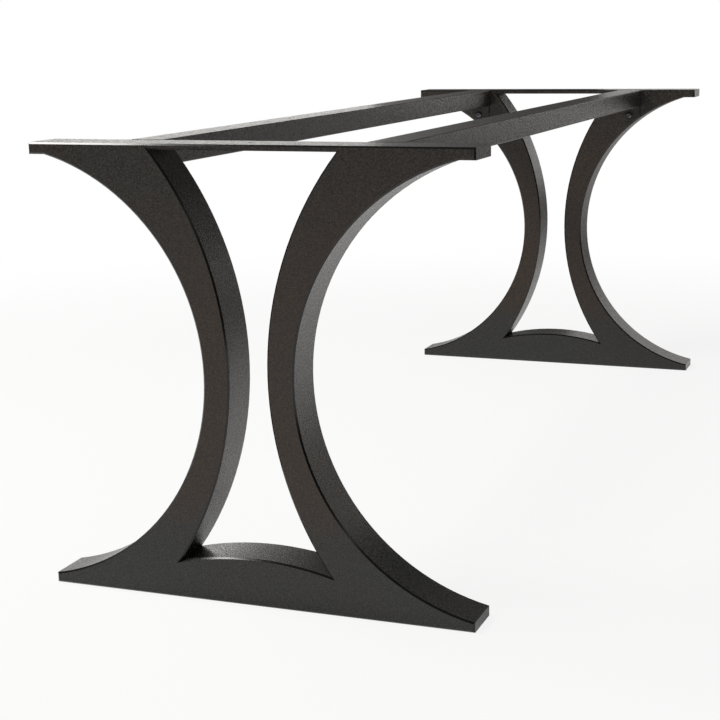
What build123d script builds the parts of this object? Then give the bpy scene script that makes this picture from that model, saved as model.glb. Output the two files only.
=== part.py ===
from build123d import *
from math import sqrt
import os

# Welded steel table base: two hollow hourglass end frames joined by two box-section rails.
# X runs along the table, Y across it and Z up. The origin is on the floor, at the middle.
# All sizes are in millimetres.

# End frames
height = 711.0  # floor to the underside of the table top
frame_spacing = 1857.0  # centre to centre of the two end frames, along the table
frame_depth = 78.0  # thickness of one frame, outer face to inner face
sheet = 3.0  # steel of every plate and strip of the frames
top_half = 358.0  # half of the width across the top
foot_setback = 3.0  # how far the foot stops short of the top on each side
tip_height = 18.0  # height of the square tips at the top
tip_flat = 26.0  # level underside of each tip, before the leg curves down
toe_height = 16.0  # height of the foot at its ends
edge_bevel = 2.6  # ground edge round both sides of each frame

# Outer curve of the legs: one arc on each side, from the toe through the waist to the tip's flat
waist_half = 75.0
waist_height = 357.0

# Window between the legs: one arc on each side, a thin bar above and an arched sill below
window_waist_half = 31.5
window_waist_height = 366.5
bar_height = 9.0  # height of the bar over the window
bar_half = 150.5  # half of the bar's clear length
sill_crown = 77.0  # top of the arched sill above the floor
sill_corner = 61.0  # where the arch meets the window's sides
sill_half = 128.0  # half of the sill's clear length

# Rails
rail_offset = 196.5  # rail centre line to the middle of the base
rail_width = 57.0
rail_height = 40.0
rail_wall = 2.0
rail_radius = 2.0  # outer corners of the tube
weld_ledge = 1.5  # how far the flange stops short of the tube's sides and top, for the weld
flange_thickness = 5.0
flange_drop = 36.0  # how far the flange hangs below its rail
flange_radius = 20.0  # lower corners of the flange

# Bolts that hold the rails to the frames
bolt_drop = 22.0  # bolt centre below the rail
bolt_radius = 4.0
bolt_length = 20.0
bolt_hole_radius = 4.5
head_radius = 7.0
head_height = 4.4
head_bevel = 2.4
socket_flats = 5.0
socket_depth = 2.6
washer_radius = 9.0
washer_bore_radius = 4.2
washer_thickness = 1.6
nut_flats = 13.0
nut_height = 6.5
thread_gap = 0.05  # between the bolt and the plain bore that stands for its thread

# Holes for the wood screws that hold the table top
screw_radius = 4.0
screw_access_radius = 8.0  # driver hole in the rail's lower wall
rail_screw_reach = 440.0  # screw position along the rail, either side of the middle

outer_face_x = (frame_spacing + frame_depth) / 2
inner_face_x = (frame_spacing - frame_depth) / 2
strip_width = frame_depth - 2 * sheet
bolt_z = height - rail_height - bolt_drop
foot_half = top_half - foot_setback
middle_height = height / 2

ends = {"near": -1, "far": 1}
sides = {"left": 1, "right": -1}

os.makedirs("parts", exist_ok=True)


def circle_through(low, middle, high):
    """Centre and radius of the circle through three points."""
    (y1, z1), (y2, z2), (y3, z3) = low, middle, high
    twist = 2 * (y1 * (z2 - z3) + y2 * (z3 - z1) + y3 * (z1 - z2))
    s1, s2, s3 = y1**2 + z1**2, y2**2 + z2**2, y3**2 + z3**2
    y = (s1 * (z2 - z3) + s2 * (z3 - z1) + s3 * (z1 - z2)) / twist
    z = (s1 * (y3 - y2) + s2 * (y1 - y3) + s3 * (y2 - y1)) / twist
    return y, z, sqrt((y1 - y) ** 2 + (z1 - z) ** 2)


leg_y, leg_z, leg_radius = circle_through(
    (foot_half, toe_height),
    (waist_half, waist_height),
    (top_half - tip_flat, height - tip_height),
)
window_y, window_z, window_radius = circle_through(
    (sill_half, sill_corner),
    (window_waist_half, window_waist_height),
    (bar_half, height - bar_height),
)


def leg_half_width(z, inset=0.0):
    """Half of the frame's width at height z, on a surface that lies inset within the steel."""
    return leg_y - sqrt((leg_radius + inset) ** 2 - (z - leg_z) ** 2)


def ankle_height(half_width, inset=0.0):
    """Height at which the lower end of the leg's arc reaches half_width."""
    return leg_z - sqrt((leg_radius + inset) ** 2 - (leg_y - half_width) ** 2)


def window_half_width(z, inset=0.0):
    """Half of the window's width at height z, on a surface that lies inset within the steel."""
    return window_y - sqrt((window_radius - inset) ** 2 - (z - window_z) ** 2)


def hourglass(inset=0.0):
    """Outline of a frame, drawn inset within the steel."""
    foot, tip = foot_half - inset, top_half - inset
    ankle = ankle_height(foot, inset)
    under = height - tip_height + inset
    shoulder = leg_half_width(under, inset)
    waist = leg_y - leg_radius - inset
    with BuildSketch(mode=Mode.PRIVATE) as outline:
        with BuildLine():
            Polyline((0, inset), (foot, inset), (foot, ankle))
            ThreePointArc((foot, ankle), (waist, leg_z), (shoulder, under))
            Polyline((shoulder, under), (tip, under), (tip, height - inset), (0, height - inset))
            mirror(about=Plane.YZ)
        make_face()
    return outline.sketch_local


def window(inset=0.0):
    """Outline of the window, drawn inset within the steel round it."""
    head, corner = height - bar_height + inset, sill_corner - inset
    head_half, corner_half = window_half_width(head, inset), window_half_width(corner, inset)
    waist = window_y - window_radius + inset
    with BuildSketch(mode=Mode.PRIVATE) as outline:
        with BuildLine():
            Line((-head_half, head), (head_half, head))
            ThreePointArc((head_half, head), (waist, window_z), (corner_half, corner))
            ThreePointArc((corner_half, corner), (0, sill_crown - inset), (-corner_half, corner))
            ThreePointArc((-corner_half, corner), (-waist, window_z), (-head_half, head))
        make_face()
    return outline.sketch_local


def between_window_sides():
    """Everything between the window's two side arcs, from below the sill to above the bar."""
    low, high = sill_corner - 2 * sheet, height
    low_half, high_half = window_half_width(low), window_half_width(high)
    waist = window_y - window_radius
    with BuildSketch(mode=Mode.PRIVATE) as region:
        with BuildLine():
            Line((-low_half, low), (low_half, low))
            ThreePointArc((low_half, low), (waist, window_z), (high_half, high))
            Line((high_half, high), (-high_half, high))
            ThreePointArc((-high_half, high), (-waist, window_z), (-low_half, low))
        make_face()
    return region.sketch_local


def block(y_range, z_range, mode):
    """A rectangle between two heights and two places across the frame."""
    (y_low, y_high), (z_low, z_high) = sorted(y_range), z_range
    with Locations(((y_low + y_high) / 2, (z_low + z_high) / 2)):
        Rectangle(y_high - y_low, z_high - z_low, mode=mode)


def frame_plane(end):
    """Sketch plane at the low-X edge of the strips of one frame."""
    return Plane.YZ.offset(end * frame_spacing / 2 - strip_width / 2)


def write(piece, name, colour):
    piece.part.label = name
    piece.part.color = Color(*colour)
    export_step(piece.part, f"parts/{name}.step")


powder_black = (0.10, 0.095, 0.09)
zinc_black = (0.06, 0.06, 0.065)

for end_name, end in ends.items():
    # Two face plates, cut to the whole outline and bevelled on their free side
    for face_name, outer in (("outer_face", True), ("inner_face", False)):
        start = outer_face_x - sheet if outer else inner_face_x
        low_x = start if end > 0 else -start - sheet
        with BuildPart() as face:
            with BuildSketch(Plane.YZ.offset(low_x)):
                add(hourglass())
                add(window(), mode=Mode.SUBTRACT)
                if not outer:
                    with Locations(*[(side * rail_offset, bolt_z) for side in sides.values()]):
                        Circle(bolt_hole_radius, mode=Mode.SUBTRACT)
            extrude(amount=sheet)
            free_side = face.faces().filter_by(Axis.X).sort_by(Axis.X)[-1 if outer == (end > 0) else 0]
            window_rim = free_side.inner_wires().sort_by(SortBy.LENGTH)[-1]
            chamfer(free_side.outer_wire().edges() + window_rim.edges(), length=edge_bevel)
        write(face, f"{end_name}_{face_name}", powder_black)

    # Strips between the face plates: first the ones that close the outline
    outline_strips = {
        "top_plate": ((-top_half + sheet, top_half - sheet), (height - sheet, height)),
        "foot_plate": ((-foot_half + sheet, foot_half - sheet), (0, sheet)),
    }
    for side_name, side in sides.items():
        tip_range = (side * (top_half - sheet), side * top_half)
        toe_range = (side * (foot_half - sheet), side * foot_half)
        outline_strips[f"{side_name}_tip_cap"] = (tip_range, (height - tip_height, height))
        outline_strips[f"{side_name}_foot_cap"] = (toe_range, (0, middle_height))
    for strip_name, (y_range, z_range) in outline_strips.items():
        with BuildPart() as strip:
            with BuildSketch(frame_plane(end)):
                add(hourglass())
                add(hourglass(sheet), mode=Mode.SUBTRACT)
                block(y_range, z_range, mode=Mode.INTERSECT)
            extrude(amount=strip_width)
            if strip_name == "top_plate":
                with Locations((end * frame_spacing / 2, 0, height)):
                    Hole(screw_radius, depth=sheet)
        write(strip, f"{end_name}_{strip_name}", powder_black)

    # Curved outer strip of each leg, folded flat under the tip
    for side_name, side in sides.items():
        with BuildPart() as leg_strip:
            with BuildSketch(frame_plane(end)):
                add(hourglass())
                add(hourglass(sheet), mode=Mode.SUBTRACT)
                block((0, side * (top_half - sheet)), (sheet, height - sheet), mode=Mode.INTERSECT)
                toe_range = (side * (foot_half - sheet), side * top_half)
                block(toe_range, (0, middle_height), mode=Mode.SUBTRACT)
            extrude(amount=strip_width)
        write(leg_strip, f"{end_name}_{side_name}_leg_strip", powder_black)

        with BuildPart() as window_strip:
            with BuildSketch(frame_plane(end)):
                add(window(sheet))
                add(between_window_sides(), mode=Mode.SUBTRACT)
                block((0, side * top_half), (0, height), mode=Mode.INTERSECT)
            extrude(amount=strip_width)
        write(window_strip, f"{end_name}_{side_name}_window_strip", powder_black)

    # Bar and arched sill that close the window above and below
    for strip_name, z_range in {
        "window_bar": (middle_height, height),
        "window_sill": (0, middle_height),
    }.items():
        with BuildPart() as cross_strip:
            with BuildSketch(frame_plane(end)):
                add(window(sheet))
                add(window(), mode=Mode.SUBTRACT)
                add(between_window_sides(), mode=Mode.INTERSECT)
                block((-top_half, top_half), z_range, mode=Mode.INTERSECT)
            extrude(amount=strip_width)
            if strip_name == "window_bar":
                with Locations((end * frame_spacing / 2, 0, height - bar_height + sheet)):
                    Hole(screw_radius, depth=sheet)
        write(cross_strip, f"{end_name}_{strip_name}", powder_black)

# Rails, with a flange welded on each end
tube_half_length = inner_face_x - flange_thickness
rail_z = height - rail_height / 2
for side_name, side in sides.items():
    rail_y = side * rail_offset
    with BuildPart() as rail:
        with BuildSketch(Plane.YZ.offset(-tube_half_length)):
            with Locations((rail_y, rail_z)):
                RectangleRounded(rail_width, rail_height, rail_radius)
                Rectangle(
                    rail_width - 2 * rail_wall, rail_height - 2 * rail_wall, mode=Mode.SUBTRACT
                )
        extrude(amount=2 * tube_half_length)
        for end in ends.values():
            with Locations((end * rail_screw_reach, rail_y, height)):
                Hole(screw_radius, depth=rail_wall)
            with Locations((end * rail_screw_reach, rail_y, height - rail_height + rail_wall)):
                Hole(screw_access_radius, depth=rail_wall)
    write(rail, f"{side_name}_rail", powder_black)

    for end_name, end in ends.items():
        # Everything here is stacked from the frame's inner face towards the middle of the base
        seat = Plane(origin=(end * inner_face_x, rail_y, bolt_z), x_dir=(0, 1, 0), z_dir=(-end, 0, 0))
        flange_width = rail_width - 2 * weld_ledge
        flange_top = rail_height + bolt_drop - weld_ledge
        flange_foot = bolt_drop - flange_drop
        up = seat.y_dir.Z  # +1 where the sketch's second axis points up, -1 where it points down
        with BuildPart() as flange:
            with BuildSketch(seat):
                with Locations((0, up * (flange_top + flange_foot) / 2)):
                    Rectangle(flange_width, flange_top - flange_foot)
                Circle(bolt_hole_radius, mode=Mode.SUBTRACT)
            extrude(amount=flange_thickness)
            lower_corners = flange.edges().filter_by(Axis.X).group_by(Axis.Z)[0]
            fillet(lower_corners, radius=flange_radius)
        write(flange, f"{end_name}_{side_name}_flange", powder_black)

        with BuildPart() as washer:
            with BuildSketch(seat.offset(flange_thickness)):
                Circle(washer_radius)
                Circle(washer_bore_radius, mode=Mode.SUBTRACT)
            extrude(amount=washer_thickness)
        write(washer, f"{end_name}_{side_name}_washer", zinc_black)

        head_seat = seat.offset(flange_thickness + washer_thickness)
        with BuildPart() as bolt:
            with BuildSketch(head_seat):
                Circle(head_radius)
            extrude(amount=head_height)
            rim = bolt.faces().sort_by(Axis.X)[-1 if end < 0 else 0].edges()
            chamfer(rim, length=head_bevel)
            with BuildSketch(head_seat):
                Circle(bolt_radius)
            extrude(amount=-bolt_length)
            with BuildSketch(head_seat.offset(head_height)):
                RegularPolygon(socket_flats / 2, 6, major_radius=False)
            extrude(amount=-socket_depth, mode=Mode.SUBTRACT)
        write(bolt, f"{end_name}_{side_name}_bolt", zinc_black)

        with BuildPart() as nut:
            with BuildSketch(seat.offset(-sheet)):
                RegularPolygon(nut_flats / 2, 6, major_radius=False)
                Circle(bolt_radius + thread_gap, mode=Mode.SUBTRACT)
            extrude(amount=-nut_height)
        write(nut, f"{end_name}_{side_name}_weld_nut", zinc_black)
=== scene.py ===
import bpy
from math import asin, cos, radians, sin
from mathutils import Matrix, Vector

# Dresses the welded table base: powder-coated steel, blackened fasteners, a pale floor and
# soft light. Everything is in metres. X runs along the table, Y across it and Z up.

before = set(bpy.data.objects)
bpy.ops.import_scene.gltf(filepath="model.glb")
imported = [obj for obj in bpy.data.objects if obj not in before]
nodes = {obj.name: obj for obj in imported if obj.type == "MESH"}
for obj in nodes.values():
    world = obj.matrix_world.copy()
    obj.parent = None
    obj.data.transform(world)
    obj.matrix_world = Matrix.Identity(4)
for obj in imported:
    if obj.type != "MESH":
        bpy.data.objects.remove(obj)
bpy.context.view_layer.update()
print("frame loaded:", len(nodes), "nodes")


# Shader maths

class Link:
    # Wraps one output socket, so that shader maths reads as ordinary Python
    def __init__(self, graph, socket):
        self.graph = graph
        self.socket = socket

    def maths(self, operation, *others, clamp=False):
        settings = {"operation": operation, "use_clamp": clamp}
        return self.graph.add("ShaderNodeMath", settings, dict(enumerate((self, *others))))

    def __add__(self, other):
        return self.maths("ADD", other)

    def __sub__(self, other):
        return self.maths("SUBTRACT", other)

    def __mul__(self, other):
        return self.maths("MULTIPLY", other)

    def __rsub__(self, other):
        return (self * -1.0) + other

    __radd__ = __add__
    __rmul__ = __mul__

    def clamped(self):
        return self.maths("ADD", 0.0, clamp=True)

    def unsigned(self):
        return self.maths("ABSOLUTE")

    def rise(self, low, high):
        # 0 below low, 1 above high and a smooth step between them
        settings = {"interpolation_type": "SMOOTHSTEP"}
        return self.graph.add("ShaderNodeMapRange", settings, {0: self, 1: low, 2: high})

    def fall(self, low, high):
        return 1.0 - self.rise(low, high)

    def part(self, name):
        # Another output of the same node
        return Link(self.graph, self.socket.node.outputs[name])


class Graph:
    # The node tree of one material or of the world
    def __init__(self, owner):
        owner.use_nodes = True
        self.tree = owner.node_tree
        self.tree.nodes.clear()

    def add(self, kind, settings=None, values=None, output=0):
        # Settings go on first, because they decide which sockets a node has
        node = self.tree.nodes.new(kind)
        for name, value in (settings or {}).items():
            setattr(node, name, value)
        for name, value in (values or {}).items():
            socket = node.inputs[name]
            if isinstance(value, Link):
                self.tree.links.new(value.socket, socket)
            elif socket.type == "RGBA":
                socket.default_value = (*value, 1.0)
            else:
                socket.default_value = value
        return Link(self, node.outputs[output]) if node.outputs else None

    def mixColours(self, share, first, second):
        # Sockets 6 and 7 of a Mix node are its two colours, and output 2 is the mixed one
        values = {0: share, 6: first, 7: second}
        return self.add("ShaderNodeMix", {"data_type": "RGBA"}, values, output=2)

    def scaleColour(self, colour, amount):
        values = {0: colour, "Scale": amount}
        return self.add("ShaderNodeVectorMath", {"operation": "SCALE"}, values)

    def distance(self, first, second):
        values = {0: first, 1: second}
        return self.add("ShaderNodeVectorMath", {"operation": "DISTANCE"}, values).part("Value")

    def split(self, vector):
        axes = self.add("ShaderNodeSeparateXYZ", None, {0: vector})
        return axes, axes.part("Y"), axes.part("Z")

    def noise(self, vector, scale, detail=2.0, roughness=0.5):
        values = {"Vector": vector, "Scale": scale, "Detail": detail, "Roughness": roughness}
        return self.add("ShaderNodeTexNoise", None, values)

    def place(self):
        return self.add("ShaderNodeTexCoord").part("Object")

    def normal(self):
        return self.add("ShaderNodeNewGeometry").part("Normal")

    def mixShaders(self, share, first, second):
        return self.add("ShaderNodeMixShader", None, {0: share, 1: first, 2: second})


def newMaterial(name):
    material = bpy.data.materials.new(name)
    return material, Graph(material)


# Powder coat on the frames and rails

powderCoat = {
    # The warm colour is used for a painted warm reflection at the waist, and for random warmer
    # tone in the mottle
    "neutral": (0.021, 0.0205, 0.0195),  # at the foot
    "warmToneAndReflection": (0.032, 0.0185, 0.0095),     # at the waist
    "roughness": 0.29,
    "ior": 1.45,
    # The rim colour is painted shade: near black, so the bevels render as dark lines
    "rim": (0.002, 0.002, 0.002),        # bevelled rims of the face plates
    "rimRoughness": 0.16,
    "pebbleScale": 330.0,                # per metre: the fine texture of the coat
    "pebbleDepth": 0.0004,
    "pebbleStrength": 0.7,
    "speckScale": 900.0,                 # per metre: finer specks on the pebbles
    "mottleScale": 3.0,                  # per metre: broad patches of warmer tone
}


def makePowderCoat(look):
    material, graph = newMaterial("powderCoat")
    place = graph.place()
    height = graph.split(place)[2]
    normal = graph.split(graph.normal())
    facing, upright = normal[0].unsigned(), normal[2]

    pebble = graph.noise(place, look["pebbleScale"], detail=3.0, roughness=0.7).rise(0.29, 0.71)
    speck = graph.noise(place, look["speckScale"], detail=1.0)
    mottle = graph.noise(place, look["mottleScale"])

    # The coat is painted warmer and lighter above the foot, most of all at the waist: a painted
    # warm reflection. The mottle adds broad random patches of warmer tone
    waistWarmReflection = height.rise(0.08, 0.18) * (0.45 + height.fall(0.45, 0.70) * 0.55)
    warmthAndReflection = waistWarmReflection * 0.85 + (mottle - 0.5) * 0.7
    colour = graph.mixColours(warmthAndReflection.clamped(), look["neutral"], look["warmToneAndReflection"])
    colour = graph.scaleColour(colour, 0.25 + pebble * 1.5)

    # The pebbles stand out on the strips and rail sides, and lie flatter on level surfaces
    flank = facing.fall(0.2, 0.6) * upright.unsigned().fall(0.4, 0.9)
    depth = 0.4 + flank * 0.6 - upright.rise(0.4, 0.9) * 0.28
    bump = graph.add("ShaderNodeBump", None, {
        "Strength": look["pebbleStrength"],
        "Distance": look["pebbleDepth"],
        "Height": (pebble * 0.7 + speck * 0.3) * depth,
    })
    coat = graph.add("ShaderNodeBsdfPrincipled", None, {
        "Base Color": colour,
        "Roughness": look["roughness"] + (pebble - 0.5) * 0.2,
        "Normal": bump,
        "IOR": look["ior"],
    })

    # Only the bevels lean half way between faces and strips: the coat there is smoother, and its
    # colour is painted shade, nearly black, so the edges read as dark lines
    bevel = facing.rise(0.35, 0.55) * facing.fall(0.85, 0.95) * upright.rise(-0.6, -0.3)
    rim = graph.add("ShaderNodeBsdfPrincipled", None, {
        "Base Color": look["rim"],
        "Roughness": look["rimRoughness"],
        "IOR": look["ior"],
    })
    surface = graph.mixShaders(bevel, coat, rim)
    graph.add("ShaderNodeOutputMaterial", None, {"Surface": surface})
    return material


# Blackened bolts, washers and nuts, as lit and shaded copies of one finish: the bolt heads are
# painted lighter (painted light), the washers and nuts darker (painted shade)

fasteners = {
    "washerBlackPaintedShade": {
        "base": (0.018, 0.018, 0.019),
        "rub": (0.05, 0.05, 0.052),
        "roughness": 0.30,
        "stainScale": 350.0,
    },
    "boltBlackPaintedLight": {
        "base": (0.11, 0.11, 0.115),
        "rub": (0.26, 0.26, 0.27),
        "roughness": 0.20,
        "stainScale": 350.0,
    },
}


def makeFastener(name, look):
    material, graph = newMaterial(name)
    stain = graph.noise(graph.place(), look["stainScale"], detail=3.0)
    colour = graph.mixColours(stain.rise(0.5, 0.75) * 0.5, look["base"], look["rub"])
    shader = graph.add("ShaderNodeBsdfPrincipled", None, {
        "Base Color": colour,
        "Roughness": look["roughness"] + (stain - 0.5) * 0.3,
        "Metallic": 0.85,
    })
    graph.add("ShaderNodeOutputMaterial", None, {"Surface": shader})
    return material


coat = makePowderCoat(powderCoat)
blacks = {name: makeFastener(name, look) for name, look in fasteners.items()}
for name, node in nodes.items():
    for slot in node.material_slots:
        if slot.material.name.startswith("powder_coat"):
            slot.material = coat
        else:
            # Bolts take the painted-light copy; washers and nuts take the painted-shade copy
            slot.material = blacks["boltBlackPaintedLight" if name.endswith("bolt") else "washerBlackPaintedShade"]
print("finishes on")


# The flanges are sheared and tumbled, so their edges are slightly round and catch the light

flangeEdge = {
    "width": 0.0012,
    "segments": 3,
    "join": 0.00001,  # corners nearer than this become one
}

for name, node in nodes.items():
    if name.endswith("flange"):
        node.modifiers.new("joined", "WELD").merge_threshold = flangeEdge["join"]
        rounding = node.modifiers.new("rounded", "BEVEL")
        rounding.width = flangeEdge["width"]
        rounding.segments = flangeEdge["segments"]
        rounding.limit_method = "ANGLE"
        rounding.harden_normals = True
print("flange edges rounded")


# Floor

floorPaper = {
    "half": 30.0,
    "drop": 0.0003,                 # keeps the paper just under the feet
    "colour": (0.86, 0.86, 0.855),
    "glowNear": 0.86,               # share of plain white beside the base, where its shadow falls
    "nearEdge": 1.2,                # the share grows to all white between these two distances
    "farEdge": 3.2,
    "mirrorGlow": 0.92,             # share of plain white that the steel mirrors
    "mirrorCentre": (-2.5, 1.0, 0.0),
    "mirrorEdges": (3.5, 6.8),      # it fades between these distances from the centre
    "shadeCentre": (-0.78, -0.05),  # soft shade behind the near foot, as the steel mirrors it
    "shadeSize": (0.25, 0.50),
    "shadeDepth": 0.5,
    "shadeColour": (0.12, 0.12, 0.12),
}


def makeFloor(look):
    half, low = look["half"], -look["drop"]
    corners = [(-half, -half, low), (half, -half, low), (half, half, low), (-half, half, low)]
    mesh = bpy.data.meshes.new("floor")
    mesh.from_pydata(corners, [], [(0, 1, 2, 3)])
    floor = bpy.data.objects.new("floor", mesh)
    bpy.context.scene.collection.objects.link(floor)

    material, graph = newMaterial("floorPaper")
    rays = graph.add("ShaderNodeLightPath")
    place = graph.place()
    far = graph.distance(place, (0.0, 0.0, 0.0)).rise(look["nearEdge"], look["farEdge"])
    seen = rays.part("Is Camera Ray") * (look["glowNear"] + far * (1.0 - look["glowNear"]))

    mirrored = (rays.part("Is Glossy Ray") + rays.part("Is Transmission Ray")).clamped()
    across, along = graph.split(place)[:2]
    across = (across - look["shadeCentre"][0]) * (1.0 / look["shadeSize"][0])
    along = (along - look["shadeCentre"][1]) * (1.0 / look["shadeSize"][1])
    shade = (across * across + along * along).fall(0.4, 1.3) * mirrored * look["shadeDepth"]
    near = graph.distance(place, look["mirrorCentre"]).fall(*look["mirrorEdges"])
    share = seen + (mirrored - shade) * look["mirrorGlow"] * near

    colour = graph.mixColours(shade, look["colour"], look["shadeColour"])
    paper = graph.add("ShaderNodeBsdfDiffuse", None, {"Color": colour})
    glow = graph.add("ShaderNodeEmission", None, {"Color": (1.0, 1.0, 1.0), "Strength": 1.0})
    surface = graph.mixShaders(share, paper, glow)
    graph.add("ShaderNodeOutputMaterial", None, {"Surface": surface})
    mesh.materials.append(material)


makeFloor(floorPaper)
print("floor laid")


# Light: a room that is brighter on the left and overhead than on the right, and four lamps

studioRoom = {
    "colour": (1.0, 0.985, 0.965),
    "everywhere": 0.06,
    "left": 0.5,
    "behind": 0.27,  # behind the camera
    "right": 0.42,
    "overhead": 0.12,
}


def makeRoom(look):
    world = bpy.data.worlds.new("studio")
    bpy.context.scene.world = world
    graph = Graph(world)
    seen = graph.add("ShaderNodeLightPath").part("Is Camera Ray")
    x, y, z = graph.split(graph.add("ShaderNodeTexCoord").part("Generated"))

    left = (y * 0.85 + x * 0.35).rise(0.05, 0.75) * z.fall(0.20, 0.80)
    gap = y.fall(0.25, 0.45) * x.rise(0.5, 0.9) * z.fall(0.20, 0.40)
    behind = (y * 0.5 - x * 0.5).rise(0.2, 0.9) * z.fall(0.1, 0.6)
    rightwards = y * -1.0
    right = rightwards.rise(0.25, 0.42) * rightwards.fall(0.55, 0.75)
    right = right * z.rise(0.03, 0.12) * z.fall(0.18, 0.38)
    overhead = z.rise(0.4, 1.0)

    strength = look["everywhere"] + left * (1.0 - gap) * look["left"] + behind * look["behind"]
    strength = strength + right * look["right"] + overhead * look["overhead"]
    values = {"Color": look["colour"], "Strength": strength}
    room = graph.add("ShaderNodeBackground", None, values)
    values = {"Color": (1.0, 1.0, 1.0), "Strength": 1.0}
    white = graph.add("ShaderNodeBackground", None, values)
    surface = graph.mixShaders(seen, room, white)
    graph.add("ShaderNodeOutputWorld", None, {"Surface": surface})


lampColour = (1.0, 0.98, 0.95)

lamps = {
    "keyLamp": {
        "place": (-1.2, 2.1, 3.2),
        "target": (-0.5, 0.0, 0.4),
        "size": (1.8, 0.9),
        "watts": 110,
    },
    "backLamp": {
        "place": (3.0, 3.0, 1.0),
        "target": (-0.53, 0.04, 0.9),
        "size": (3.4, 0.5),
        "watts": 13,
    },
    "sideLamp": {
        "place": (4.6, -0.7, 0.9),
        "target": (0.0, 0.0, 0.8),
        "size": (2.9, 1.0),
        "watts": 9.5,
    },
    "fillLamp": {
        "place": (-4.5, -2.5, 2.2),
        "target": (-0.4, 0.0, 0.4),
        "size": (3.0, 2.0),
        "watts": 35,
    },
}


def setUpright(obj, place, forward, right):
    up = right.cross(forward)
    turn = Matrix((right, up, -forward)).transposed().to_4x4()
    obj.matrix_world = Matrix.Translation(place) @ turn


def makeLamp(name, look):
    lamp = bpy.data.lights.new(name, "AREA")
    lamp.shape = "RECTANGLE"
    lamp.size, lamp.size_y = look["size"]
    lamp.energy = look["watts"]
    lamp.color = lampColour
    obj = bpy.data.objects.new(name, lamp)
    bpy.context.scene.collection.objects.link(obj)
    place, target = Vector(look["place"]), Vector(look["target"])
    forward = (target - place).normalized()
    right = forward.cross(Vector((0, 0, 1))).normalized()
    setUpright(obj, place, forward, right)
    obj.visible_camera = False


makeRoom(studioRoom)
for lampName, lampLook in lamps.items():
    makeLamp(lampName, lampLook)
print("light set")


# Camera, at the photograph's viewing angle

cameraView = {
    "place": (-3.0140, -0.9809, 0.8734),
    "heading": 20.581,  # degrees from +X towards +Y
    "pitch": -12.677,
    "roll": -0.916,
    "lens": 77.178,
    "sensor": 36.0,
    "shift": (-0.0278, 0.0208),
}


def makeCamera(look):
    data = bpy.data.cameras.new("camera")
    data.sensor_width = look["sensor"]
    data.lens = look["lens"]
    data.shift_x, data.shift_y = look["shift"]
    obj = bpy.data.objects.new("camera", data)
    bpy.context.scene.collection.objects.link(obj)
    heading, pitch = radians(look["heading"]), radians(look["pitch"])
    forward = Vector((cos(pitch) * cos(heading), cos(pitch) * sin(heading), sin(pitch)))
    level = Vector((sin(heading), -cos(heading), 0))
    tilt = asin(sin(radians(look["roll"])) / cos(pitch))
    right = level * cos(tilt) + level.cross(forward) * sin(tilt)
    setUpright(obj, Vector(look["place"]), forward, right)
    bpy.context.scene.camera = obj


makeCamera(cameraView)
bpy.context.scene.view_settings.view_transform = "Standard"
print("camera set")
